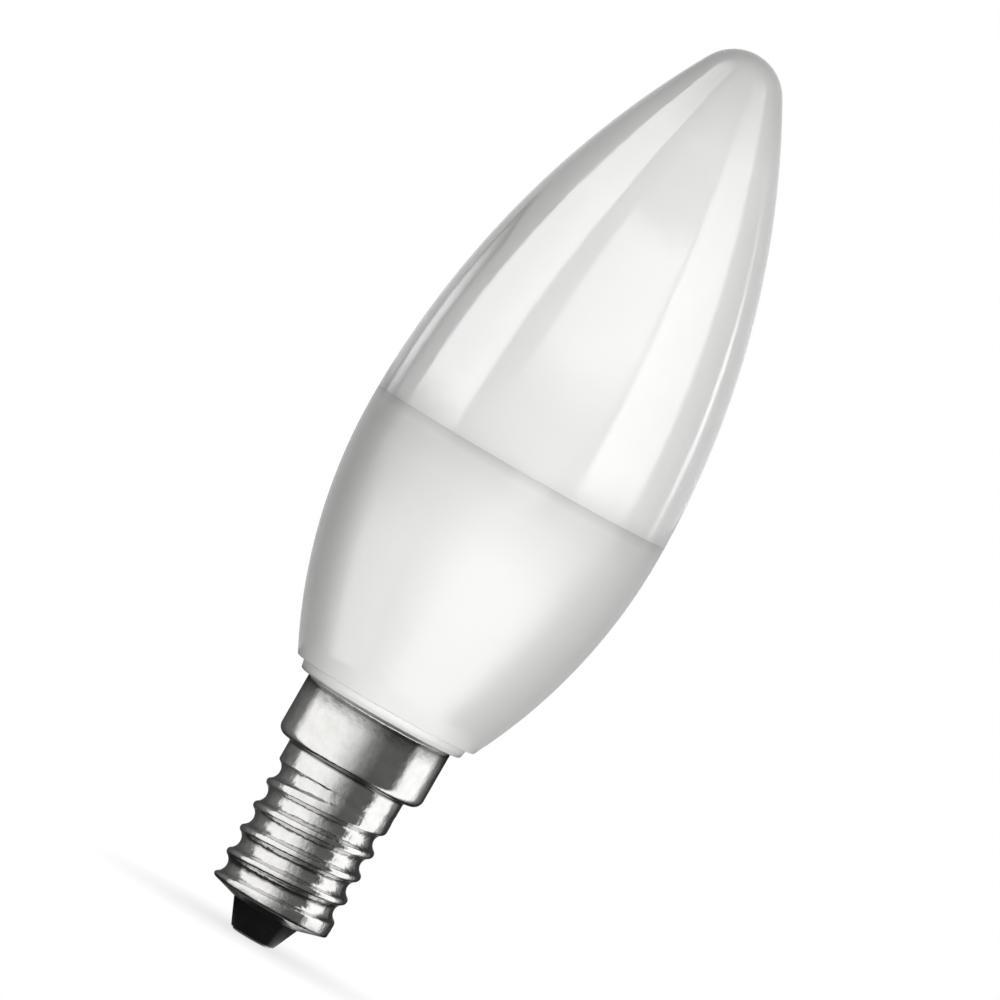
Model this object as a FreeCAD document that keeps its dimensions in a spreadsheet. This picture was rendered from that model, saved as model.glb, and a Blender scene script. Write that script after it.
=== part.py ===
"""LED candle bulb with a small Edison screw cap.

The lamp stands on its centre contact with the tip up. The origin is on the axis at the end of the
contact, Z runs along the axis to the tip, and all sizes are in millimetres. The thread's crests rise
from -X over the front, -Y, to +X.

The lamp is five pieces: the opal diffuser, the housing that it plugs into, the rolled metal screw cap
crimped on the housing's neck, the insulator in the cap's end hole and the centre contact riveted
through the insulator.
"""

import FreeCAD, Part
import math
import os

import Sketcher

# driving dimensions, in millimetres and degrees
SIZES = {
    # outline of dome and housing
    "overall_length": 107.5,
    "bulb_diameter": 34.75,
    "widest_height": 56.1,
    "nose_radius": 5.2,
    "housing_arc": 60.0,
    # seam between dome and housing, with the dome's spigot inside the housing's rim
    "seam_height": 57.6,
    "seam_round": 0.25,
    "rim_width": 1.6,
    "lap_depth": 3.0,
    "lap_clearance": 0.1,
    # underside of the housing, with its recessed lip round the cap's collar, and the neck inside the collar
    "underside_height": 27.5,
    "lip_height": 1.1,
    "lip_overhang": 1.05,
    "lip_flare": 0.225,
    "lip_round": 0.3,
    "step_round": 0.25,
    "neck_end_gap": 0.7,
    "neck_clearance": 0.05,
    # rolled sheet shell of the cap
    "sheet": 0.3,
    "collar_diameter": 17.2,
    "collar_base_height": 21.6,
    "shoulder_rise": 1.5,
    "shoulder_corner": 1.1,
    "end_hole_diameter": 7.7,
    "end_height": 3.1,
    "cone_rise": 0.9,
    "cone_round": 0.4,
    # knuckle thread
    "thread_major": 13.8,
    "thread_minor": 12.26,
    "thread_pitch": 2.822,
    "crest_radius": 0.5,
    "first_valley_height": 5.53,
    "thread_turns": 4,
    "half_land": 0.1,
    "runout_turns": 0.5,
    "runout_angle": 32.0,
    # insulator and centre contact
    "insulator_end_diameter": 5.1,
    "insulator_end_height": 0.2,
    "insulator_round": 0.2,
    "flange_diameter": 10.4,
    "flange_top_height": 5.2,
    "contact_diameter": 4.6,
    "contact_round": 0.15,
    "rivet_diameter": 1.8,
}

doc = FreeCAD.newDocument("candle_bulb")
sheet = doc.addObject("Spreadsheet::Sheet", "sizes")
for row, (alias, value) in enumerate(SIZES.items(), start=1):
    sheet.set(f"A{row}", alias)
    sheet.set(f"B{row}", str(value))
    sheet.setAlias(f"B{row}", alias)
doc.recompute()


def size(alias):
    """The expression of one cell."""
    return f"sizes.{alias}"


def number(expression):
    """What an expression is worth now, in millimetres."""
    return float(sheet.evalExpression(expression))


# sizes that follow from the driving ones, as expressions
bulb_radius = f"({size('bulb_diameter')} / 2)"
nose_height = f"({size('overall_length')} - {size('nose_radius')})"
nose_rise = f"({nose_height} - {size('widest_height')})"
# the dome's arc has its centre at the widest height and is tangent to the nose
dome_arc = (
    f"(({bulb_radius}^2 + {nose_rise}^2 - {size('nose_radius')}^2)"
    f" / (2 * ({bulb_radius} - {size('nose_radius')})))"
)
dome_share = f"({dome_arc} / ({dome_arc} - {size('nose_radius')}))"
nose_start_x = f"(({bulb_radius} - {dome_arc}) * (1 - {dome_share}))"
nose_start_z = f"({size('widest_height')} + {nose_rise} * {dome_share})"
# the housing's arc has its centre at the widest height too, and stops above the lip
lip_top_height = f"({size('underside_height')} + {size('lip_height')})"
housing_drop = f"({size('widest_height')} - {lip_top_height})"
housing_end_x = f"({bulb_radius} - {size('housing_arc')} + sqrt({size('housing_arc')}^2 - {housing_drop}^2))"
spigot_radius = f"({bulb_radius} - {size('rim_width')} - {size('lap_clearance')})"
recess_radius = f"({bulb_radius} - {size('rim_width')})"
lap_floor_height = f"({size('seam_height')} - {size('lap_depth')})"
collar_radius = f"({size('collar_diameter')} / 2)"
collar_bore = f"({collar_radius} - {size('sheet')})"
neck_radius = f"({collar_bore} - {size('neck_clearance')})"
shoulder_top_height = f"({size('collar_base_height')} + {size('sheet')})"
neck_end_height = f"({shoulder_top_height} + {size('neck_end_gap')})"
lip_end_radius = f"({collar_radius} + {size('lip_overhang')})"
lip_top_radius = f"({lip_end_radius} + {size('lip_flare')})"
major_radius = f"({size('thread_major')} / 2)"
minor_radius = f"({size('thread_minor')} / 2)"
end_hole_radius = f"({size('end_hole_diameter')} / 2)"
# the cap's end cone, as the height gained per radius, and the sheet's thickness measured upright there
cone_slope = f"({size('cone_rise')} / ({major_radius} - {end_hole_radius}))"
sheet_rise = f"({size('sheet')} * sqrt(1 + {cone_slope}^2))"
cone_top_height = f"({size('end_height')} + {size('cone_rise')})"
cone_seat_height = f"({size('end_height')} + {sheet_rise})"
flange_radius = f"({size('flange_diameter')} / 2)"
rivet_radius = f"({size('rivet_diameter')} / 2)"


class Corner:
    """A corner of a closed outline, with the radius of the arc that leaves it, if it isn't a line.

    side is 1 where the arc lies to the left of the way to the next corner and -1 where it lies right.
    """

    def __init__(self, x, z, radius=None, side=1):
        self.x = x
        self.z = z
        self.radius = radius
        self.side = side

    def point(self):
        return FreeCAD.Vector(number(self.x), number(self.z), 0)


def edge_between(corner, following):
    """The line or arc from one corner to the next, in the sketch's plane."""
    start = corner.point()
    end = following.point()
    if corner.radius is None:
        return Part.LineSegment(start, end)
    radius = number(corner.radius)
    chord = end - start
    sagitta = radius - math.sqrt(radius**2 - chord.Length**2 / 4)
    left = FreeCAD.Vector(-chord.y, chord.x, 0).normalize()
    middle = (start + end) * 0.5 + left * sagitta * corner.side
    # every arc is drawn anticlockwise, so one that lies to the left starts at its far end
    if corner.side > 0:
        start, end = end, start
    return Part.ArcOfCircle(start, middle, end)


def end_numbers(geometry, start):
    """Which of the sketcher's two end numbers is the edge's start and which its end."""
    return (1, 2) if geometry.StartPoint.distanceToPoint(start) < 1e-6 else (2, 1)


def draw(body, name, corners, plane="XZ_Plane"):
    """A closed sketch through the corners, each bound to the sizes, on one of the body's own planes."""
    sketch = body.newObject("Sketcher::SketchObject", name)
    origin_plane = next(f for f in body.Origin.OriginFeatures if f.Role == plane)
    sketch.AttachmentSupport = (origin_plane, [""])
    sketch.MapMode = "FlatFace"
    ends = []
    for corner, following in zip(corners, corners[1:] + corners[:1]):
        geometry = edge_between(corner, following)
        index = sketch.addGeometry(geometry, False)
        ends.append((index, *end_numbers(geometry, corner.point())))
    for (index, _, last), (next_index, first, _) in zip(ends, ends[1:] + ends[:1]):
        sketch.addConstraint(Sketcher.Constraint("Coincident", index, last, next_index, first))
    for corner, (index, first, _) in zip(corners, ends):
        for kind, expression, axis in (("DistanceX", corner.x, -2), ("DistanceY", corner.z, -1)):
            if expression == "0":
                sketch.addConstraint(Sketcher.Constraint("PointOnObject", index, first, axis))
                continue
            datum = Sketcher.Constraint(kind, -1, 1, index, first, number(expression))
            constraint = sketch.addConstraint(datum)
            sketch.setExpression(f"Constraints[{constraint}]", expression)
        if corner.radius is not None:
            datum = Sketcher.Constraint("Radius", index, number(corner.radius))
            constraint = sketch.addConstraint(datum)
            sketch.setExpression(f"Constraints[{constraint}]", corner.radius)
    return sketch


def turn(body, name, corners, kind="PartDesign::Revolution"):
    """A full turn of a closed outline about the lamp's axis, added to the body or cut from it."""
    sketch = draw(body, f"{name}_outline", corners)
    feature = body.newObject(kind, name)
    feature.Profile = sketch
    feature.ReferenceAxis = (sketch, ["V_Axis"])
    feature.Angle = 360
    sketch.Visibility = False
    doc.recompute()
    return feature


def circles(shape):
    """The name, radius and height of each circular edge."""
    found = []
    for place, edge in enumerate(shape.Edges, start=1):
        if not edge.Degenerated and isinstance(edge.Curve, Part.Circle):
            found.append((f"Edge{place}", edge.Curve.Radius, edge.Curve.Center.z))
    return found


def round_rim(body, name, radius, rim):
    """Rounds the circular edge that lies at the given radius and height."""
    base = body.Tip
    names = [
        edge
        for edge, edge_radius, height in circles(base.Shape)
        if math.dist(rim, (edge_radius, height)) < 1e-4
    ]
    fillet = body.newObject("PartDesign::Fillet", name)
    fillet.Base = (base, names)
    fillet.setExpression("Radius", radius)
    doc.recompute()
    return fillet


def new_body(name):
    body = doc.addObject("PartDesign::Body", name)
    body.Label = name
    return body


def candle_outline():
    """The closed candle outline, from the lip's level up to the tip and back down the axis."""
    return [
        Corner("0", lip_top_height),
        Corner(housing_end_x, lip_top_height, size("housing_arc"), -1),
        Corner(bulb_radius, size("widest_height"), dome_arc, -1),
        Corner(nose_start_x, nose_start_z, size("nose_radius"), -1),
        Corner("0", size("overall_length")),
    ]


def seam_rim(body):
    """Radius and height of the body's outer edge at the seam."""
    seam = number(size("seam_height"))
    radii = [radius for _, radius, height in circles(body.Tip.Shape) if abs(height - seam) < 1e-6]
    return max(radii), seam


# clear of the whole lamp, for the outer sides of cuts
beyond = size("bulb_diameter")
above = f"({size('overall_length')} + {size('nose_radius')})"


def make_diffuser():
    body = new_body("diffuser")
    turn(body, "dome", candle_outline())
    turn(
        body,
        "dome_trim",
        [
            Corner("0", size("end_height")),
            Corner(beyond, size("end_height")),
            Corner(beyond, size("seam_height")),
            Corner(spigot_radius, size("seam_height")),
            Corner(spigot_radius, lap_floor_height),
            Corner("0", lap_floor_height),
        ],
        "PartDesign::Groove",
    )
    round_rim(body, "dome_rim", size("seam_round"), seam_rim(body))
    return body


def make_housing():
    body = new_body("housing")
    turn(body, "shell", candle_outline())
    turn(
        body,
        "shell_trim",
        [
            Corner("0", lap_floor_height),
            Corner(recess_radius, lap_floor_height),
            Corner(recess_radius, size("seam_height")),
            Corner(beyond, size("seam_height")),
            Corner(beyond, above),
            Corner("0", above),
        ],
        "PartDesign::Groove",
    )
    turn(
        body,
        "lip_and_neck",
        [
            Corner("0", neck_end_height),
            Corner(neck_radius, neck_end_height),
            Corner(neck_radius, size("underside_height")),
            Corner(lip_end_radius, size("underside_height")),
            Corner(lip_top_radius, lip_top_height),
            Corner("0", lip_top_height),
        ],
    )
    step = (number(housing_end_x), number(lip_top_height))
    lip = (number(lip_end_radius), number(size("underside_height")))
    round_rim(body, "lip_rounding", size("lip_round"), lip)
    round_rim(body, "step_rounding", size("step_round"), step)
    round_rim(body, "shell_rim", size("seam_round"), seam_rim(body))
    return body


def shell_section():
    """The sheet's section before the thread is rolled: end cone, cylinder, shoulder and collar."""
    bore = f"({minor_radius} - {size('sheet')})"
    bore_start = f"({cone_seat_height} + {cone_slope} * ({bore} - {end_hole_radius}))"
    shoulder_start = f"({size('collar_base_height')} - {size('shoulder_rise')})"
    step = f"({collar_radius} - {major_radius})"
    # two arcs make the shoulder's S, each tangent to its wall, the collar's one the larger
    both_bends = f"(({step}^2 + {size('shoulder_rise')}^2) / (2 * {step}))"
    corner = size("shoulder_corner")
    neck_bend = f"({both_bends} - {corner})"
    middle_x = f"({collar_radius} - {step} * {corner} / {both_bends})"
    middle_z = f"({size('collar_base_height')} - {size('shoulder_rise')} * {corner} / {both_bends})"
    return [
        Corner(end_hole_radius, size("end_height")),
        Corner(major_radius, cone_top_height),
        Corner(major_radius, shoulder_start, neck_bend, 1),
        Corner(middle_x, middle_z, corner, -1),
        Corner(collar_radius, size("collar_base_height")),
        Corner(collar_radius, size("underside_height")),
        Corner(collar_bore, size("underside_height")),
        Corner(collar_bore, shoulder_top_height),
        Corner(bore, shoulder_top_height),
        Corner(bore, bore_start),
        Corner(end_hole_radius, cone_seat_height),
    ]


def groove_section(valley_height):
    """The knuckle thread's groove at one valley, on -X.

    A root arc runs tangent into half a crest at each side, and stops a little before the crest's top.
    """
    crest = size("crest_radius")
    half_pitch = f"({size('thread_pitch')} / 2)"
    depth = f"({major_radius} - {minor_radius})"
    both_radii = f"(({half_pitch}^2 + {depth}^2) / (2 * {depth}))"
    root = f"({both_radii} - {crest})"
    crest_centre = f"({major_radius} - {crest})"
    share = f"({crest} / {both_radii})"
    join_x = f"(-({crest_centre} + {share} * ({both_radii} - {depth})))"
    join_z = f"({half_pitch} * (1 - {share}))"
    land_x = f"(-({crest_centre} + sqrt({crest}^2 - {size('half_land')}^2)))"
    land_z = f"({half_pitch} - {size('half_land')})"
    outer_x = f"(-({major_radius} + {crest}))"
    return [
        Corner(land_x, f"({valley_height} - {land_z})", crest, 1),
        Corner(join_x, f"({valley_height} - {join_z})", root, -1),
        Corner(join_x, f"({valley_height} + {join_z})", crest, 1),
        Corner(land_x, f"({valley_height} + {land_z})"),
        Corner(outer_x, f"({valley_height} + {land_z})"),
        Corner(outer_x, f"({valley_height} - {land_z})"),
    ]


def roll_groove(body, name, corners, turns, angle, downwards=False):
    """Cuts a groove section out of the body along a right-hand helix, whose radius may grow."""
    sketch = draw(body, f"{name}_section", corners)
    helix = body.newObject("PartDesign::SubtractiveHelix", name)
    helix.Profile = sketch
    helix.ReferenceAxis = (sketch, ["V_Axis"])
    helix.Mode = "pitch-turns-angle"
    helix.setExpression("Pitch", size("thread_pitch"))
    helix.setExpression("Turns", turns)
    helix.setExpression("Angle", angle)
    helix.LeftHanded = False
    helix.Reversed = downwards
    sketch.Visibility = False
    doc.recompute()
    return helix


def make_screw_cap():
    body = new_body("screw_cap")
    turn(body, "sheet_shell", shell_section())
    round_rim(body, "cone_rounding", size("cone_round"), (number(major_radius), number(cone_top_height)))
    # the thread starts and ends on -X, and from there its groove fades out over half a turn
    first = size("first_valley_height")
    last = f"({first} + {size('thread_pitch')} * {size('thread_turns')})"
    fading = (size("runout_turns"), size("runout_angle"))
    roll_groove(body, "thread", groove_section(first), size("thread_turns"), "0")
    roll_groove(body, "runout", groove_section(last), *fading)
    roll_groove(body, "runin", groove_section(first), *fading, downwards=True)
    return body


def make_insulator():
    body = new_body("insulator")
    flange_seat = f"({cone_seat_height} + {cone_slope} * ({flange_radius} - {end_hole_radius}))"
    end_radius = f"({size('insulator_end_diameter')} / 2)"
    turn(
        body,
        "glass",
        [
            Corner(rivet_radius, size("insulator_end_height")),
            Corner(end_radius, size("insulator_end_height")),
            Corner(end_hole_radius, size("end_height")),
            Corner(end_hole_radius, cone_seat_height),
            Corner(flange_radius, flange_seat),
            Corner(flange_radius, size("flange_top_height")),
            Corner(rivet_radius, size("flange_top_height")),
        ],
    )
    end = (number(end_radius), number(size("insulator_end_height")))
    round_rim(body, "end_rounding", size("insulator_round"), end)
    return body


def make_centre_contact():
    body = new_body("centre_contact")
    contact_radius = f"({size('contact_diameter')} / 2)"
    turn(
        body,
        "button_and_rivet",
        [
            Corner("0", "0"),
            Corner(contact_radius, "0"),
            Corner(contact_radius, size("insulator_end_height")),
            Corner(rivet_radius, size("insulator_end_height")),
            Corner(rivet_radius, size("flange_top_height")),
            Corner("0", size("flange_top_height")),
        ],
    )
    round_rim(body, "button_rounding", size("contact_round"), (number(contact_radius), 0))
    return body


BUILDERS = [make_diffuser, make_housing, make_screw_cap, make_insulator, make_centre_contact]
bodies = [build() for build in BUILDERS]

doc.recompute()
for item in doc.Objects:
    if "Invalid" in item.State or "Error" in item.State:
        raise RuntimeError(f"{item.Label} failed: {item.State}")
for body in bodies:
    if body.Shape.isNull() or not body.Shape.isValid():
        raise RuntimeError(f"{body.Label} has no valid shape")

os.makedirs("parts", exist_ok=True)
for body in bodies:
    body.Shape.exportStep(os.path.join("parts", f"{body.Label}.step"))
    print(body.Label, round(body.Shape.Volume, 2), "mm3")
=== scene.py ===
"""Looks of the candle bulb: the rolled cap as a smooth mesh, finishes, studio, floor and camera."""

import math

import bmesh
import bpy
from mathutils import Matrix, Vector


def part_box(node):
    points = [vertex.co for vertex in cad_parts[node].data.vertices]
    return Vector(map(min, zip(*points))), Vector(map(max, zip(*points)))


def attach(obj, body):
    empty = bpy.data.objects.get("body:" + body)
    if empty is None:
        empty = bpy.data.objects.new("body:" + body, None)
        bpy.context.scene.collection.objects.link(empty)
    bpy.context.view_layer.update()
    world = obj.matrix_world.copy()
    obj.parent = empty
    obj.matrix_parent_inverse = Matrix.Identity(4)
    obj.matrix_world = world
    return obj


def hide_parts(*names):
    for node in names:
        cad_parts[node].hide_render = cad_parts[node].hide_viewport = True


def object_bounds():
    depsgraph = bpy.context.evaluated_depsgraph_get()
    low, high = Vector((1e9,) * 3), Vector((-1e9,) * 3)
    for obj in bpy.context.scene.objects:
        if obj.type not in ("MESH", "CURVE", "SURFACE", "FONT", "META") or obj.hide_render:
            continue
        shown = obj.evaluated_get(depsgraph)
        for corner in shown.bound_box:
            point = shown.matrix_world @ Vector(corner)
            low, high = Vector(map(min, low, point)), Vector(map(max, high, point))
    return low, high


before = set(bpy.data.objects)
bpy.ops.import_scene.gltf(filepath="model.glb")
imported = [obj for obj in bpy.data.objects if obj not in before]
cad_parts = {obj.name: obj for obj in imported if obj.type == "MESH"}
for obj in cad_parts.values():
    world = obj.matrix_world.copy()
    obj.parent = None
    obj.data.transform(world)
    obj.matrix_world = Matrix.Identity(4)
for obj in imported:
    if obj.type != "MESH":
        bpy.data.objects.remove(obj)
cad_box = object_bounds()

MM = 0.001
BODY = "root"

# heights and radii read from the frame
lamp_height = cad_box[1].z
cap_low, cap_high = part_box("screw_cap")
collar_radius = cap_high.x
cap_end_height = cap_low.z
cap_top_height = cap_high.z
seam_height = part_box("housing")[1].z

# the cap's rolled sheet, as in the solid
THREAD_MAJOR_RADIUS = 6.9 * MM
THREAD_MINOR_RADIUS = 6.13 * MM
THREAD_PITCH = 2.822 * MM
CREST_RADIUS = 0.5 * MM
FIRST_VALLEY_HEIGHT = 5.53 * MM
THREAD_TURNS = 4
RUNOUT_SLOPE = math.tan(math.radians(32))
SHEET = 0.3 * MM
END_HOLE_RADIUS = 3.85 * MM
CONE_RISE = 0.9 * MM
CONE_ROUND = 0.4 * MM
SHOULDER_RISE = 1.5 * MM
SHOULDER_CORNER = 1.1 * MM
COLLAR_BASE_HEIGHT = 21.6 * MM
NECK_END_HEIGHT = COLLAR_BASE_HEIGHT - SHOULDER_RISE
EDGE_BREAK = 0.06 * MM

# how round the fading groove goes over into the plain wall, as a share of what it has faded by
RUNOUT_BLEND = 0.4

# vertices round the cap's mesh, and steps up each stretch of its profile
VERTICES_AROUND = 256
CONE_STEPS = 24
ROUNDING_STEPS = 10
THREAD_STEPS = 210
BEND_STEPS = 10
CORNER_STEPS = 14
COLLAR_STEPS = 8

# reaches of the painted shade toward the top of the dome, below the lapped seam and in the bend under the
# shoulder, and the height from which the cap's dents grow fainter
TIP_SHADE_START = lamp_height - 11 * MM
TIP_SHADE_END = lamp_height - 3 * MM
SEAM_SHADE_DEPTH = 4.5 * MM
CREVICE_HEIGHT = NECK_END_HEIGHT + 0.4 * MM
CREVICE_SHADE_CORE = 0.2 * MM
CREVICE_SHADE_END = 0.45 * MM
SMOOTH_NECK_START = COLLAR_BASE_HEIGHT - 4 * MM

# the photo's frame: the lamp's place, scale and lean in it
IMAGE_SIZE = 1000
PIXELS_PER_METRE = 9479
LEAN = math.radians(29.85)
AIM_HEIGHT = 53.28 * MM
AIM_OFFSET = -0.24 * MM
CAMERA_DISTANCE = 1.56
CAMERA_ELEVATION = math.radians(2.15)
SENSOR_WIDTH = 36

# strength of a glow that shows as white, and of the world's even light on diffuse surfaces
WHITE = 1.0
FILL = 0.21

# the far studio: panels, the surround behind them and its dark backing, by radius and height
PANEL_RADIUS = 0.45
SURROUND_RADIUS = 0.5
BACKING_RADIUS = 0.55
STUDIO_FOOT = -1.2
STUDIO_TOP = 1.2
SURROUND_SPLIT = 0.05
PANEL_FOOT = 0.045
LOW_PANEL_FOOT = -0.9

# the near surround that the cap mirrors: a ring, a foot under it, a rim over it and the rim's glow
RING_RADIUS = 14 * MM
RING_FOOT = -0.5 * MM
RING_TOP = 27.6 * MM
RIM_INNER_RADIUS = 9.9 * MM
RIM_GLOW_INNER_RADIUS = 10.1 * MM
RIM_GLOW_HEIGHT = 27.8 * MM


class Nodes:
    """Adds nodes to one material's or world's tree and links them."""

    def __init__(self, tree):
        self.tree = tree
        tree.nodes.clear()

    def add(self, kind, inputs=None, **settings):
        node = self.tree.nodes.new(kind)
        for name, value in settings.items():
            setattr(node, name, value)
        for name, value in (inputs or {}).items():
            if isinstance(value, bpy.types.NodeSocket):
                self.tree.links.new(value, node.inputs[name])
            else:
                node.inputs[name].default_value = value
        return node

    def place(self):
        """The point in the object's own frame."""
        return self.add("ShaderNodeTexCoord").outputs["Object"]

    def height(self):
        """The height in the object's own frame."""
        return self.add("ShaderNodeSeparateXYZ", {"Vector": self.place()}).outputs["Z"]

    def length(self, vector):
        return self.add("ShaderNodeVectorMath", {0: vector}, operation="LENGTH").outputs["Value"]

    def across(self):
        """The distance from the object's own upright axis."""
        flat = self.add("ShaderNodeVectorMath", {0: self.place(), 1: (1, 1, 0)}, operation="MULTIPLY")
        return self.length(flat.outputs["Vector"])

    def noise(self, scale, detail=2.0, roughness=0.5, stretch=(1, 1, 1)):
        """A noise value over the object's own coordinates, in grains a metre."""
        mapping = self.add("ShaderNodeMapping", {"Vector": self.place(), "Scale": stretch})
        texture = self.add(
            "ShaderNodeTexNoise",
            {"Vector": mapping.outputs["Vector"], "Scale": scale, "Detail": detail, "Roughness": roughness},
        )
        return texture.outputs["Fac"]

    def shaded(self, colour, level):
        """A colour darkened to a level from 0 to 1."""
        node = self.add("ShaderNodeVectorMath", {0: colour, "Scale": level}, operation="SCALE")
        return node.outputs["Vector"]

    def between(self, value, low, high, start=0.3, end=0.7):
        """A value spread from low to high where the input goes from start to end."""
        node = self.add(
            "ShaderNodeMapRange",
            {"Value": value, "From Min": start, "From Max": end, "To Min": low, "To Max": high},
        )
        return node.outputs["Result"]

    def blend(self, factor, first, second):
        """A colour between two others."""
        node = self.add("ShaderNodeMix", data_type="RGBA")
        self.tree.links.new(factor, node.inputs["Factor"])
        colours = [socket for socket in node.inputs if socket.type == "RGBA"]
        colours[0].default_value = (*first, 1)
        colours[1].default_value = (*second, 1)
        return next(socket for socket in node.outputs if socket.type == "RGBA")

    def ramp(self, value, stops):
        """A grey that goes from stop to stop: each is a place from 0 to 1 and a level."""
        node = self.add("ShaderNodeValToRGB", {"Fac": value})
        elements = node.color_ramp.elements
        for element, (place, _) in zip(elements, stops):
            element.position = place
        for place, _ in stops[2:]:
            elements.new(place)
        for element, (_, level) in zip(elements, stops):
            element.color = (level, level, level, 1)
        return node.outputs["Color"]

    def calculate(self, operation, first, second):
        return self.add("ShaderNodeMath", {0: first, 1: second}, operation=operation).outputs["Value"]

    def bump(self, height, depth, normal=None):
        """A bump of the given depth, in metres."""
        inputs = {"Height": height, "Distance": depth, "Strength": 1.0}
        if normal:
            inputs["Normal"] = normal
        return self.add("ShaderNodeBump", inputs).outputs["Normal"]

    def glow(self, strength):
        emission = self.add("ShaderNodeEmission", {"Color": (1, 1, 1, 1), "Strength": strength})
        return emission.outputs["Emission"]

    def surface(self, shader):
        output = self.add("ShaderNodeOutputMaterial")
        self.tree.links.new(shader, output.inputs["Surface"])


def new_material(name):
    material = bpy.data.materials.new(name)
    material.use_nodes = True
    return material, Nodes(material.node_tree)


def opal_plastic():
    """Glossy opal polycarbonate, cloudy and faintly rippled, with shade painted darker toward its top."""
    material, nodes = new_material("opal_plastic")
    cloud = nodes.noise(90, 3)
    ripple = nodes.noise(260, 2)
    opal = nodes.blend(cloud, (0.80, 0.80, 0.79), (0.85, 0.85, 0.84))
    # painted shade: the opal's colour darkens over the last few millimetres toward the top
    painted_tip_shade = nodes.between(nodes.height(), 1.0, 0.82, TIP_SHADE_START, TIP_SHADE_END)
    principled = nodes.add(
        "ShaderNodeBsdfPrincipled",
        {
            "Base Color": nodes.shaded(opal, painted_tip_shade),
            "Roughness": nodes.between(cloud, 0.06, 0.12),
            "IOR": 1.58,
            "Subsurface Weight": 0.25,
            "Subsurface Radius": (1.0, 1.0, 1.0),
            "Subsurface Scale": 4 * MM,
            "Normal": nodes.bump(ripple, 0.015 * MM),
        },
    )
    nodes.surface(principled.outputs["BSDF"])
    return material


def white_plastic():
    """Semi-gloss white housing plastic with fine moulded grain and painted shade below the lapped seam."""
    material, nodes = new_material("white_plastic")
    cloud = nodes.noise(70, 3)
    grain = nodes.noise(2500, 2)
    white = nodes.blend(cloud, (0.77, 0.77, 0.76), (0.82, 0.82, 0.81))
    # painted shade: the housing's colour darkens in a band just below the seam, darkest at the seam
    drop = nodes.calculate("SUBTRACT", seam_height, nodes.height())
    painted_seam_shade = nodes.ramp(
        nodes.between(drop, 0.0, 1.0, 0.0, SEAM_SHADE_DEPTH),
        [(0.0, 0.66), (0.1, 0.76), (0.28, 0.9), (0.6, 0.95), (1.0, 1.0)],
    )
    principled = nodes.add(
        "ShaderNodeBsdfPrincipled",
        {
            "Base Color": nodes.shaded(white, painted_seam_shade),
            "Roughness": nodes.between(cloud, 0.16, 0.22),
            "IOR": 1.6,
            "Normal": nodes.bump(grain, 0.006 * MM),
        },
    )
    nodes.surface(principled.outputs["BSDF"])
    return material


def plated_metal():
    """Nickel-plated rolled sheet with faint dents, roller marks, duller patches and painted shade in the
    bend under the shoulder.
    """
    material, nodes = new_material("plated_metal")
    patches = nodes.noise(700, 4, 0.65)
    # painted shade: a dark band painted into the metal's colour in the bend under the shoulder
    rise = nodes.calculate("SUBTRACT", nodes.height(), CREVICE_HEIGHT)
    away = nodes.calculate("ABSOLUTE", rise, 0.0)
    painted_crevice_shade = nodes.between(away, 0.25, 1.0, CREVICE_SHADE_CORE, CREVICE_SHADE_END)
    plate = nodes.blend(patches, (0.58, 0.575, 0.56), (0.80, 0.795, 0.78))
    rolled = nodes.between(nodes.height(), 1.0, 0.4, SMOOTH_NECK_START, COLLAR_BASE_HEIGHT)
    dents = nodes.calculate("MULTIPLY", nodes.noise(900, 2), rolled)
    rolling = nodes.noise(220, 3, 0.5, (1, 1, 14))
    dented = nodes.bump(dents, 0.1 * MM)
    principled = nodes.add(
        "ShaderNodeBsdfPrincipled",
        {
            "Base Color": nodes.shaded(plate, painted_crevice_shade),
            "Metallic": 1.0,
            "Roughness": nodes.between(patches, 0.12, 0.2),
            "Normal": nodes.bump(rolling, 0.006 * MM, dented),
        },
    )
    nodes.surface(principled.outputs["BSDF"])
    return material


def black_insulator():
    """Glossy black insulating compound with a slightly uneven fired surface."""
    material, nodes = new_material("black_insulator")
    cloud = nodes.noise(400, 3)
    principled = nodes.add(
        "ShaderNodeBsdfPrincipled",
        {
            "Base Color": nodes.blend(cloud, (0.004, 0.004, 0.005), (0.009, 0.009, 0.01)),
            "Roughness": nodes.between(cloud, 0.14, 0.26),
            "Specular IOR Level": 0.25,
            "Normal": nodes.bump(nodes.noise(1200, 2), 0.008 * MM),
        },
    )
    nodes.surface(principled.outputs["BSDF"])
    return material


def contact_metal():
    """Satin plated contact with turned rings."""
    material, nodes = new_material("contact_metal")
    rings = nodes.add(
        "ShaderNodeTexWave",
        {"Vector": nodes.place(), "Scale": 700.0, "Distortion": 1.5, "Detail": 2.0},
        wave_type="RINGS",
        rings_direction="Z",
    )
    patches = nodes.noise(1500, 3)
    principled = nodes.add(
        "ShaderNodeBsdfPrincipled",
        {
            "Base Color": nodes.blend(patches, (0.58, 0.57, 0.55), (0.70, 0.69, 0.66)),
            "Metallic": 1.0,
            "Roughness": nodes.between(patches, 0.28, 0.42),
            "Normal": nodes.bump(rings.outputs["Fac"], 0.004 * MM),
        },
    )
    nodes.surface(principled.outputs["BSDF"])
    return material


def spread(start, end, count):
    """Evenly spaced values from start up to, but not including, end."""
    return [start + (end - start) * step / count for step in range(count)]


def soft_least(first, second, blend):
    """The lesser of two values, with a round passage between them."""
    if abs(first - second) >= blend:
        return min(first, second)
    share = (blend - abs(first - second)) / blend
    return min(first, second) - share * share * blend / 4


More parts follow.
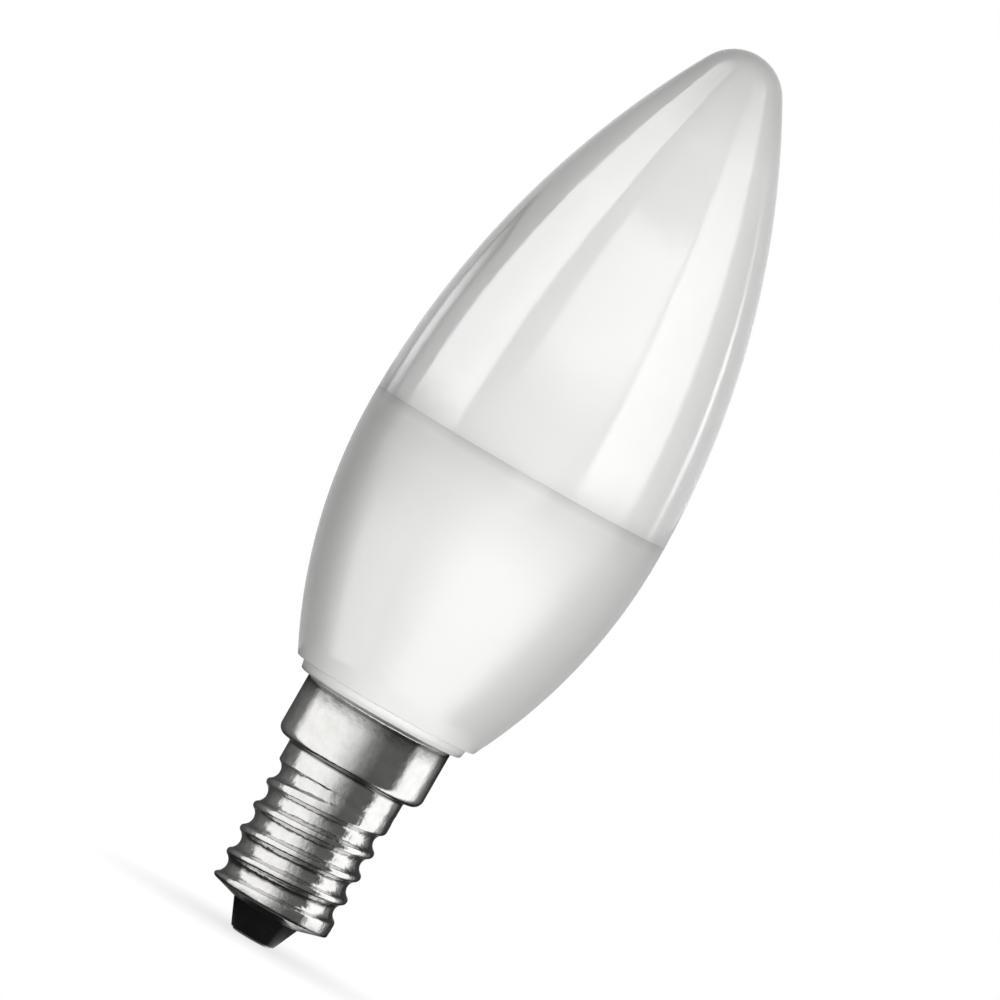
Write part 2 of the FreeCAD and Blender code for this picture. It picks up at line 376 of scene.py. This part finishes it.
def groove_radius(distance):
    """The thread's radius at an upright distance from a valley's middle."""
    depth = THREAD_MAJOR_RADIUS - THREAD_MINOR_RADIUS
    half_pitch = THREAD_PITCH / 2
    both_radii = (half_pitch**2 + depth**2) / (2 * depth)
    root = both_radii - CREST_RADIUS
    if distance >= half_pitch:
        return THREAD_MAJOR_RADIUS
    if distance < half_pitch * (1 - CREST_RADIUS / both_radii):
        return THREAD_MINOR_RADIUS + root - math.sqrt(root**2 - distance**2)
    crest_centre = THREAD_MAJOR_RADIUS - CREST_RADIUS
    return crest_centre + math.sqrt(CREST_RADIUS**2 - (half_pitch - distance) ** 2)


def thread_radius(angle, height):
    """The rolled thread's radius at an angle round the axis, from +X over +Y, and a height.

    The groove has its full depth from -X to -X and fades out half a turn before and after.
    """
    last_valley = FIRST_VALLEY_HEIGHT + THREAD_TURNS * THREAD_PITCH
    start = FIRST_VALLEY_HEIGHT + THREAD_PITCH * (angle - math.pi) / math.tau
    radius = THREAD_MAJOR_RADIUS
    nearest = round((height - start) / THREAD_PITCH)
    for turn in (nearest - 1, nearest, nearest + 1):
        valley = start + turn * THREAD_PITCH
        fading = max(0.0, FIRST_VALLEY_HEIGHT - valley, valley - last_valley) * RUNOUT_SLOPE
        groove = groove_radius(abs(height - valley)) + fading
        radius = min(radius, soft_least(groove, THREAD_MAJOR_RADIUS, RUNOUT_BLEND * fading))
    return radius


def end_cone_slope():
    return CONE_RISE / (THREAD_MAJOR_RADIUS - END_HOLE_RADIUS)


def shell_end():
    """Radius and height along the cap's end cone and its rounding, and the height where they end."""
    slope = end_cone_slope()
    tilt = math.atan(slope)
    centre = THREAD_MAJOR_RADIUS - CONE_ROUND
    centre_height = cap_end_height + slope * (centre - END_HOLE_RADIUS) + CONE_ROUND / math.cos(tilt)
    cone_end = centre + CONE_ROUND * math.sin(tilt)
    cone = [
        (radius, cap_end_height + slope * (radius - END_HOLE_RADIUS))
        for radius in spread(END_HOLE_RADIUS + EDGE_BREAK, cone_end, CONE_STEPS)
    ]
    rounding = [
        (centre + CONE_ROUND * math.sin(angle), centre_height - CONE_ROUND * math.cos(angle))
        for angle in spread(tilt, math.pi / 2, ROUNDING_STEPS)
    ]
    return cone + rounding, centre_height


def shoulder_profile():
    """Radius and height along the S-shaped shoulder, from the neck up to the collar."""
    step = collar_radius - THREAD_MAJOR_RADIUS
    both_bends = (step**2 + SHOULDER_RISE**2) / (2 * step)
    turn = math.asin(min(1.0, SHOULDER_RISE / both_bends))
    inner = both_bends - SHOULDER_CORNER
    lower = [
        (THREAD_MAJOR_RADIUS + inner - inner * math.cos(angle), NECK_END_HEIGHT + inner * math.sin(angle))
        for angle in spread(0, turn, BEND_STEPS)
    ]
    outer = collar_radius - SHOULDER_CORNER
    upper = [
        (outer + SHOULDER_CORNER * math.cos(angle), COLLAR_BASE_HEIGHT - SHOULDER_CORNER * math.sin(angle))
        for angle in spread(turn, 0, CORNER_STEPS)
    ]
    return lower + upper


def collar_profile():
    """Radius and height up the collar's outside, over its edge and down the inside to the hole."""
    collar_edge = cap_top_height - EDGE_BREAK
    collar_inside = collar_radius - SHEET
    shoulder_inside = COLLAR_BASE_HEIGHT + SHEET
    bore = THREAD_MINOR_RADIUS - SHEET
    slope = end_cone_slope()
    upright_sheet = SHEET * math.sqrt(1 + slope**2)
    wall = [(collar_radius, height) for height in spread(COLLAR_BASE_HEIGHT, collar_edge, COLLAR_STEPS)]
    return wall + [
        (collar_radius, collar_edge),
        (collar_radius - EDGE_BREAK, cap_top_height),
        (collar_inside, cap_top_height),
        (collar_inside, shoulder_inside),
        (bore, shoulder_inside),
        (bore, cap_end_height + upright_sheet + slope * (bore - END_HOLE_RADIUS)),
        (END_HOLE_RADIUS, cap_end_height + upright_sheet),
        (END_HOLE_RADIUS, cap_end_height + EDGE_BREAK),
    ]


def make_cap_mesh():
    """The cap's sheet as one closed skin: end cone, thread, neck, shoulder, collar and the inside."""
    threaded, wall_start = shell_end()
    threaded += [
        (THREAD_MAJOR_RADIUS, height) for height in spread(wall_start, NECK_END_HEIGHT, THREAD_STEPS)
    ]
    angles = spread(0, math.tau, VERTICES_AROUND)
    rings = [
        [(angle, min(thread_radius(angle, height), limit), height) for angle in angles]
        for limit, height in threaded
    ]
    rings += [
        [(angle, radius, height) for angle in angles]
        for radius, height in shoulder_profile() + collar_profile()
    ]
    shell = bmesh.new()
    rows = [
        [
            shell.verts.new((radius * math.cos(angle), radius * math.sin(angle), height))
            for angle, radius, height in ring
        ]
        for ring in rings
    ]
    for lower, upper in zip(rows, rows[1:] + rows[:1]):
        for step in range(VERTICES_AROUND):
            following = (step + 1) % VERTICES_AROUND
            face = shell.faces.new((lower[step], lower[following], upper[following], upper[step]))
            face.smooth = True
    bmesh.ops.recalc_face_normals(shell, faces=shell.faces[:])
    mesh = bpy.data.meshes.new("rolled_cap")
    shell.to_mesh(mesh)
    shell.free()
    return mesh


def make_cap(material):
    cap = bpy.data.objects.new("rolled_cap", make_cap_mesh())
    bpy.context.scene.collection.objects.link(cap)
    cap.data.materials.append(material)
    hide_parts("screw_cap")
    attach(cap, BODY)


def paint(node, material):
    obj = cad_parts[node]
    obj.data.materials.clear()
    obj.data.materials.append(material)


def outward_from_axis(azimuth, elevation=0.0):
    """The direction at an azimuth, from the front to the right, and an elevation, in degrees."""
    azimuth, elevation = math.radians(azimuth), math.radians(elevation)
    level = math.cos(elevation)
    return Vector((math.sin(azimuth) * level, -math.cos(azimuth) * level, math.sin(elevation)))


def place_card(name, card, material, diffuse=False):
    """Puts a card in the studio that only reflections see, unless it is for diffuse light too."""
    mesh = bpy.data.meshes.new(name)
    card.to_mesh(mesh)
    card.free()
    obj = bpy.data.objects.new(name, mesh)
    bpy.context.scene.collection.objects.link(obj)
    mesh.materials.append(material)
    obj.visible_camera = False
    obj.visible_shadow = False
    obj.visible_diffuse = diffuse


def make_card(name, radius, azimuths, heights, material, diffuse=False):
    """A curved card round the lamp, from one azimuth and height to another."""
    card = bmesh.new()
    steps = 24
    first, last = azimuths
    rows = []
    for step in range(steps + 1):
        foot = outward_from_axis(first + (last - first) * step / steps) * radius
        rows.append([card.verts.new((foot.x, foot.y, height)) for height in heights])
    for here, following in zip(rows, rows[1:]):
        card.faces.new((here[0], following[0], following[1], here[1]))
    place_card(name, card, material, diffuse)


def make_flat_card(name, inner, outer, height, material):
    """A level ring round the axis."""
    card = bmesh.new()
    steps = 64
    rows = []
    for angle in spread(0, math.tau, steps):
        across = Vector((math.cos(angle), math.sin(angle), 0))
        rows.append([card.verts.new(across * radius + Vector((0, 0, height))) for radius in (inner, outer)])
    for here, following in zip(rows, rows[1:] + rows[:1]):
        card.faces.new((here[0], here[1], following[1], following[0]))
    place_card(name, card, material)


def even_glow(name, strength):
    material, nodes = new_material(name)
    nodes.surface(nodes.glow(strength))
    return material


def dark_card():
    tone = 0.03
    material, nodes = new_material("dark_card")
    diffuse = nodes.add("ShaderNodeBsdfDiffuse", {"Color": (tone, tone, tone, 1)})
    nodes.surface(diffuse.outputs["BSDF"])
    return material


def soft_glow(name, around, along, least=0.0, outward=False):
    """A glow that changes round the axis and along the card, and never falls below the least.

    around holds pairs of azimuth and strength, and along pairs of height and share, or of
    distance from the axis and share on a level card that changes outward.
    """
    material, nodes = new_material(name)
    mapping = nodes.add("ShaderNodeMapping", {"Vector": nodes.place(), "Rotation": (0, 0, math.pi / 2)})
    angle = nodes.add("ShaderNodeTexGradient", {"Vector": mapping.outputs["Vector"]}, gradient_type="RADIAL")
    brightest = max(strength for _, strength in around)
    low, high = along[0][0], along[-1][0]
    measure = nodes.across() if outward else nodes.height()
    sides = nodes.ramp(
        angle.outputs["Fac"],
        [((azimuth + 180) / 360, strength / brightest) for azimuth, strength in around],
    )
    levels = nodes.ramp(
        nodes.between(measure, 0.0, 1.0, low, high),
        [((level - low) / (high - low), share) for level, share in along],
    )
    share = nodes.calculate("MULTIPLY", sides, levels)
    strength = nodes.calculate("MAXIMUM", nodes.calculate("MULTIPLY", share, brightest), least)
    nodes.surface(nodes.glow(strength))
    return material


def make_panel(name, around, along, least=0.0):
    """A curved panel of soft glow, from the first to the last azimuth and height of its tables."""
    azimuths = (around[0][0], around[-1][0])
    heights = (along[0][0], along[-1][0])
    make_card(name, PANEL_RADIUS, azimuths, heights, soft_glow(name, around, along, least))


def seen_directly(nodes):
    """1 for camera, glossy and transmission rays, and 0 for others."""
    path = nodes.add("ShaderNodeLightPath")
    either = path.outputs["Is Camera Ray"]
    for ray in ("Is Glossy Ray", "Is Transmission Ray"):
        either = nodes.calculate("MAXIMUM", either, path.outputs[ray])
    return either


def make_world():
    """A white surround for what is seen directly, and an even fill for the rest."""
    world = bpy.data.worlds.new("studio")
    bpy.context.scene.world = world
    world.use_nodes = True
    nodes = Nodes(world.node_tree)
    fill = nodes.add("ShaderNodeBackground", {"Color": (1, 1, 1, 1), "Strength": FILL})
    white = nodes.add("ShaderNodeBackground", {"Color": (1, 1, 1, 1), "Strength": WHITE})
    either = nodes.add(
        "ShaderNodeMixShader",
        {0: seen_directly(nodes), 1: fill.outputs["Background"], 2: white.outputs["Background"]},
    )
    output = nodes.add("ShaderNodeOutputWorld")
    world.node_tree.links.new(either.outputs["Shader"], output.inputs["Surface"])


def make_floor():
    """A pale floor that keeps the lamp's shadow and goes over into white away from it."""
    bpy.ops.mesh.primitive_circle_add(vertices=96, radius=3.0, fill_type="NGON")
    floor = bpy.context.object
    floor.name = "floor"
    material, nodes = new_material("pale_floor")
    distance = nodes.length(nodes.place())
    away = nodes.between(distance, low=0.75, high=1.0, start=3 * MM, end=20 * MM)
    whitened = nodes.calculate("MULTIPLY", seen_directly(nodes), away)
    tone = nodes.blend(nodes.noise(30, 2), (0.84, 0.84, 0.84), (0.88, 0.88, 0.88))
    diffuse = nodes.add("ShaderNodeBsdfDiffuse", {"Color": tone})
    either = nodes.add(
        "ShaderNodeMixShader",
        {0: whitened, 1: diffuse.outputs["BSDF"], 2: nodes.glow(WHITE)},
    )
    nodes.surface(either.outputs["Shader"])
    floor.data.materials.append(material)
    floor.visible_glossy = False


def make_light(name, azimuth, elevation, distance, width, height, watts):
    """A soft box that looks at the lamp's middle, for diffuse light: glossy surfaces don't mirror it."""
    back = outward_from_axis(azimuth, elevation)
    data = bpy.data.lights.new(name, "AREA")
    data.shape = "RECTANGLE"
    data.size = width
    data.size_y = height
    data.energy = watts
    light = bpy.data.objects.new(name, data)
    light.location = Vector((0, 0, lamp_height / 2)) + back * distance
    light.rotation_mode = "QUATERNION"
    light.rotation_quaternion = back.to_track_quat("Z", "Y")
    light.visible_camera = False
    light.visible_glossy = False
    bpy.context.scene.collection.objects.link(light)


def make_lights():
    make_light("front_box", azimuth=4, elevation=11, distance=1.2, width=1.27, height=0.67, watts=3.75)
    make_light("low_box", azimuth=12, elevation=1, distance=0.9, width=0.4, height=0.12, watts=4.0)
    make_light("back_box", azimuth=180, elevation=6, distance=1.2, width=1.27, height=0.67, watts=17.0)


def make_surround():
    """Glowing cards behind the lamp that the plastics mirror, and dark ones that keep fill light off."""
    whole = (STUDIO_FOOT, STUDIO_TOP)
    upper = (SURROUND_SPLIT, STUDIO_TOP)
    lower = (STUDIO_FOOT, SURROUND_SPLIT)
    dark = dark_card()
    for side, azimuths, strength in (("left", (-180, -106), 0.9), ("right", (128, 180), 1.0)):
        make_card(f"back_{side}_card", BACKING_RADIUS, azimuths, whole, dark, diffuse=True)
        glow = even_glow(f"back_{side}", strength)
        make_card(f"back_{side}_glow", SURROUND_RADIUS, azimuths, upper, glow)
    low_glow = soft_glow(
        "low_surround",
        around=[
            (-180, 0.7), (-147, 0.6), (-130, 0.15), (-106, 0.02),
            (84, 0.35), (100, 0.25), (128, 0.3), (142, 0.5), (180, 0.7),
        ],
        along=[(STUDIO_FOOT, 1), (SURROUND_SPLIT, 1)],
    )
    for side, azimuths in (("left", (-180, -106)), ("right", (84, 180))):
        make_card(f"back_{side}_low_glow", SURROUND_RADIUS, azimuths, lower, low_glow)


def make_near_surround():
    """The ring, foot and rim that the cap mirrors, and the glow on the rim for the housing's lip."""
    round_cap = [
        (-180, 1.2), (-154, 1.1), (-142, 0.05), (-116, 0.08), (-80, 0.2), (-69, 1.25),
        (-22, 1.22), (-9, 0.95), (8, 0.3), (21, 0.12), (50, 0.12), (58, 1.4),
        (86, 1.4), (98, 0.25), (117, 0.03), (142, 0.05), (154, 1.1), (180, 1.2),
    ]
    ring = soft_glow(
        "ring_card",
        round_cap,
        along=[
            (RING_FOOT, 0.12), (2 * MM, 0.35), (4.5 * MM, 1.0),
            (24.9 * MM, 1.0), (26.8 * MM, 0.2), (RING_TOP, 0.1),
        ],
    )
    make_card("ring_card", RING_RADIUS, (-180, 180), (RING_FOOT, RING_TOP), ring)
    foot = soft_glow(
        "foot_card",
        around=[(-180, 0.12), (62, 0.12), (72, 1.0), (110, 1.0), (150, 0.8), (165, 0.12), (180, 0.12)],
        along=[(0.0, 1), (4 * MM, 1), (9 * MM, 0.17), (RING_RADIUS, 0.17)],
        outward=True,
    )
    make_flat_card("foot_card", 0.0, RING_RADIUS, RING_FOOT, foot)
    rim_underside = soft_glow(
        "rim_under",
        round_cap,
        along=[
            (RIM_INNER_RADIUS, 0.05), (10.8 * MM, 0.1), (11.7 * MM, 0.3),
            (12.8 * MM, 0.3), (13.4 * MM, 0.1), (RING_RADIUS, 0.1),
        ],
        outward=True,
    )
    make_flat_card("rim_card", RIM_INNER_RADIUS, RING_RADIUS, RING_TOP, rim_underside)
    rim = soft_glow(
        "rim_glow",
        around=[(-150, 0.1), (-60, 0.4), (-25, 2.4), (0, 3.4), (35, 3.4), (55, 1.5), (90, 0.5), (150, 0.2)],
        along=[(0.0, 1), (100 * MM, 1)],
    )
    make_flat_card("rim_glow", RIM_GLOW_INNER_RADIUS, RING_RADIUS, RIM_GLOW_HEIGHT, rim)


def make_panels():
    """Panels and strips that dome and housing mirror: only the left strip goes darker than white."""
    beside = [(PANEL_FOOT, 0.1), (0.085, 1), (0.32, 1), (0.42, 0.85), (0.6, 0.5), (0.85, 0.35)]
    make_panel("left_panel", [(-105, 0), (-102, 5.4), (-56, 5.4), (-53, 0)], beside, least=WHITE)
    make_panel("right_panel", [(40, 0), (43, 4.4), (87, 4.4), (93, 0)], beside, least=WHITE)
    make_panel(
        "front_panel",
        around=[(-37, 0), (-32, 3.5), (36, 3.5), (40, 1.9)],
        along=[(0.09, 0), (0.2, 0.9), (0.36, 1), (0.42, 0.1)],
        least=WHITE,
    )
    make_panel(
        "low_panel",
        around=[(-97, 0), (-90, 3.4), (-52, 3.0), (-44, 2.2), (-20, 2.8), (0, 4.1), (62, 4.1), (84, 1)],
        along=[(LOW_PANEL_FOOT, 1), (-0.1, 1), (PANEL_FOOT, 0)],
        least=WHITE,
    )
    make_panel(
        "left_strip",
        around=[(-143, 0), (-137, 2.7), (-131, 2.7), (-122, 0)],
        along=[(PANEL_FOOT, 0.4), (0.07, 1), (0.1, 1), (0.16, 0)],
    )
    make_panel(
        "right_strip",
        around=[(118, 1), (121, 4.2), (124, 4.2), (128, 1)],
        along=[(PANEL_FOOT, 0.3), (0.08, 0.8), (0.12, 1), (0.17, 1), (0.22, 0.5), (0.3, 0.4)],
        least=WHITE,
    )


def make_camera():
    """A long lens at the photo's angle, rolled so that the lamp leans as it does there."""
    data = bpy.data.cameras.new("camera")
    camera = bpy.data.objects.new("camera", data)
    back = Vector((0, -math.cos(CAMERA_ELEVATION), math.sin(CAMERA_ELEVATION)))
    level_up = Vector((0, math.sin(CAMERA_ELEVATION), math.cos(CAMERA_ELEVATION)))
    level_right = Vector((1, 0, 0))
    right = math.cos(LEAN) * level_right + math.sin(LEAN) * level_up
    up = math.cos(LEAN) * level_up - math.sin(LEAN) * level_right
    aim = Vector((AIM_OFFSET, 0, AIM_HEIGHT))
    turned = Matrix((right, up, back)).transposed().to_4x4()
    camera.matrix_world = Matrix.Translation(aim + back * CAMERA_DISTANCE) @ turned
    data.sensor_width = SENSOR_WIDTH
    data.lens = SENSOR_WIDTH * CAMERA_DISTANCE * PIXELS_PER_METRE / IMAGE_SIZE
    data.clip_start = 0.1
    data.clip_end = 20
    bpy.context.scene.collection.objects.link(camera)
    bpy.context.scene.camera = camera


bpy.context.scene.view_settings.view_transform = "Standard"

paint("diffuser", opal_plastic())
paint("housing", white_plastic())
paint("insulator", black_insulator())
paint("centre_contact", contact_metal())
make_cap(plated_metal())

make_world()
make_floor()
make_lights()
make_surround()
make_near_surround()
make_panels()
make_camera()
